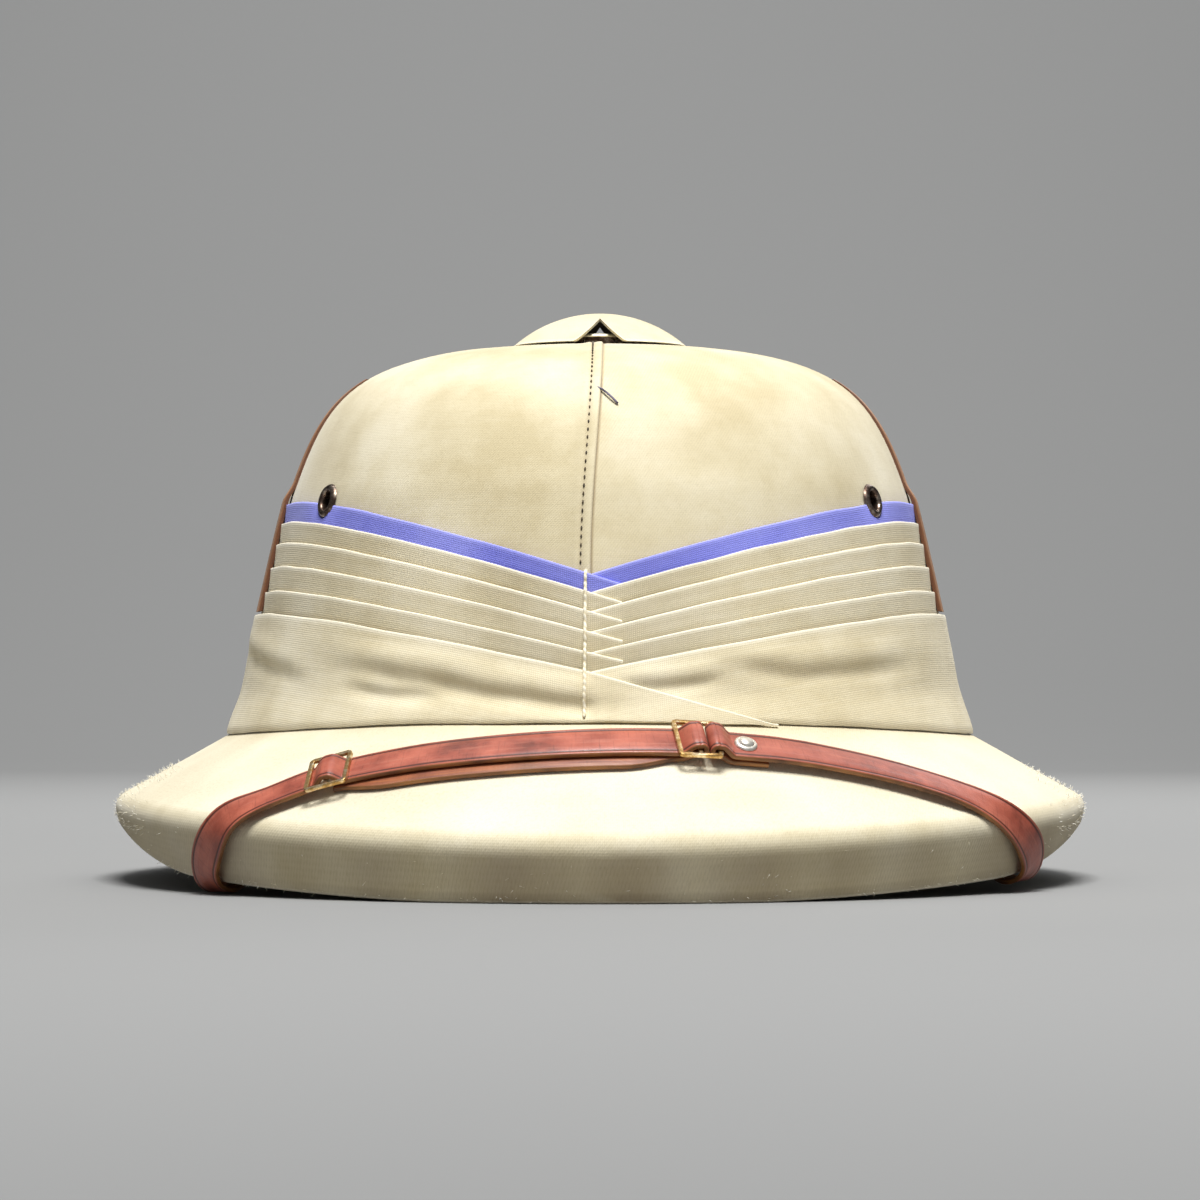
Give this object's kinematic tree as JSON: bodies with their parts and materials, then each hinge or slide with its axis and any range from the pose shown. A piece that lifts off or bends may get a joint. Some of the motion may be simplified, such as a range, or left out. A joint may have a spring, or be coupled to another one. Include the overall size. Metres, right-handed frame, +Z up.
{
  "type": "pith helmet",
  "caption": "Cloth covered sun helmet with a hollow oval crown, sloping turned-down brim, domed ventilator cap, wound pleated scarf with a blue stripe and leather chin strap over the brim.",
  "frame": {"origin": "on the table, under the middle of the brim's outline", "axes": "+Z up, -Y towards the front peak, +X to the viewer's right seen from the front"},
  "size_m": [0.2688, 0.3368, 0.1574],
  "materials": {
    "khaki_cloth": "matt drill cotton over moulded pith",
    "scarf_cloth": "matt folded cotton",
    "blue_cloth": "matt dyed cotton",
    "strap_leather": "polished worn leather",
    "tan_leather": "matt worn leather",
    "worn_brass": "worn",
    "dark_brass": "tarnished",
    "pale_metal": "dull"
  },
  "bodies": {
    "root": {"crown": "khaki_cloth", "brim": "khaki_cloth", "vent_cap": "khaki_cloth", "vent_collar": "pale_metal", "eyelet_left": "dark_brass", "eyelet_right": "dark_brass", "puggaree_stripe": "blue_cloth", "puggaree_fold_1": "scarf_cloth", "puggaree_fold_2": "scarf_cloth", "puggaree_fold_3": "scarf_cloth", "puggaree_fold_4": "scarf_cloth", "puggaree_wrap": "scarf_cloth", "side_tape_left": "tan_leather", "side_tape_right": "tan_leather", "strap_left": "strap_leather", "strap_right": "strap_leather", "strap_slide": "worn_brass", "strap_buckle": "worn_brass", "strap_stud": "worn_brass", "strap_anchor_left": "dark_brass", "strap_anchor_right": "dark_brass"}
  },
  "joints": []
}
